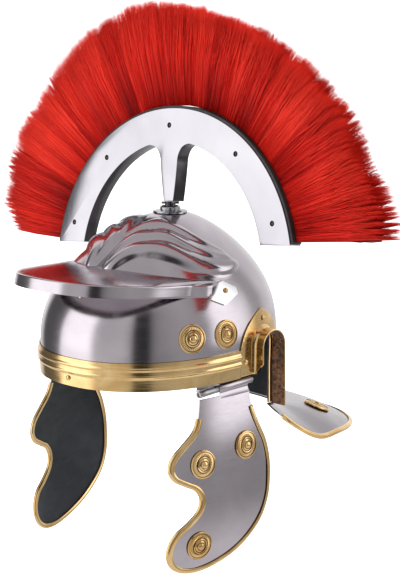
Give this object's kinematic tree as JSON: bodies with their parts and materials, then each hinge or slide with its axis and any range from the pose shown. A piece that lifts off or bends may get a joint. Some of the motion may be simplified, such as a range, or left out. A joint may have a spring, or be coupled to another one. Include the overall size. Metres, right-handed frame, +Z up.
{
  "type": "legionary helmet",
  "caption": "Steel legionary helmet with brass fittings, peak, flared neck guard, hinged cheek guards and a red hair crest that stands across the head.",
  "frame": {"origin": "centre of the brow line, level with the lower edge of the brow band, where the helmet sits on a head", "axes": "-Y is the way the face looks, +X is the wearer's left, +Z is up"},
  "size_m": [0.478, 0.361, 0.5051],
  "materials": {
    "bowl_steel": "satin, fine brushed grain",
    "crest_steel": "bright polish",
    "fitting_steel": "satin",
    "brass": "polished",
    "black_block": "painted black, matte",
    "red_hair": "dyed hair, matte"
  },
  "bodies": {
    "helmet": {"bowl": "bowl_steel", "brow_band": "brass", "brow_band_rivet": "brass", "crest_socket": "fitting_steel", "ear_guard_left": "brass", "ear_guard_right": "brass", "ear_rivet_front_left": "brass", "ear_rivet_front_right": "brass", "ear_rivet_rear_left": "brass", "ear_rivet_rear_right": "brass", "ear_rivet_top_left": "brass", "ear_rivet_top_right": "brass", "hinge_pin_left": "fitting_steel", "hinge_pin_right": "fitting_steel", "hinge_sleeve_left": "fitting_steel", "hinge_sleeve_right": "fitting_steel", "neck_edging": "brass", "neck_guard": "bowl_steel", "neck_rosette_left": "brass", "neck_rosette_right": "brass", "peak": "bowl_steel", "peak_plate_left": "bowl_steel", "peak_plate_right": "bowl_steel", "peak_rivet_front": "brass", "peak_rivet_left": "brass", "peak_rivet_right": "brass", "rosette_front_left": "brass", "rosette_front_right": "brass", "rosette_rear_left": "brass", "rosette_rear_right": "brass"},
    "cheek_guard_left": {"cheek_edging_left": "brass", "cheek_plate_left": "bowl_steel", "cheek_rosette_front_left": "brass", "cheek_rosette_lower_left": "brass", "cheek_rosette_rear_left": "brass"},
    "cheek_guard_right": {"cheek_edging_right": "brass", "cheek_plate_right": "bowl_steel", "cheek_rosette_front_right": "brass", "cheek_rosette_lower_right": "brass", "cheek_rosette_rear_right": "brass"},
    "crest": {"crest_block": "black_block", "crest_box": "crest_steel", "crest_foot": "fitting_steel", "crest_pin_1": "fitting_steel", "crest_pin_2": "fitting_steel", "crest_pin_3": "fitting_steel", "crest_pin_4": "fitting_steel", "crest_pin_5": "fitting_steel", "plume": "red_hair"}
  },
  "joints": [
    {"name": "cheek_left_hinge", "type": "hinge", "parent": "helmet", "child": "cheek_guard_left", "pos_m": [0.0969, -0.023, -0.0052], "axis": [-0.0827, -0.9954, -0.049], "range_deg": [-30, 112]},
    {"name": "cheek_right_hinge", "type": "hinge", "parent": "helmet", "child": "cheek_guard_right", "pos_m": [-0.0969, -0.023, -0.0052], "axis": [-0.0827, 0.9954, 0.049], "range_deg": [-30, 112]},
    {"name": "crest_turn", "type": "hinge", "parent": "helmet", "child": "crest", "pos_m": [0, 0.0095, 0.1423], "axis": [-0.1017, 0.1444, 0.9843], "range_deg": [0, 90]}
  ]
}
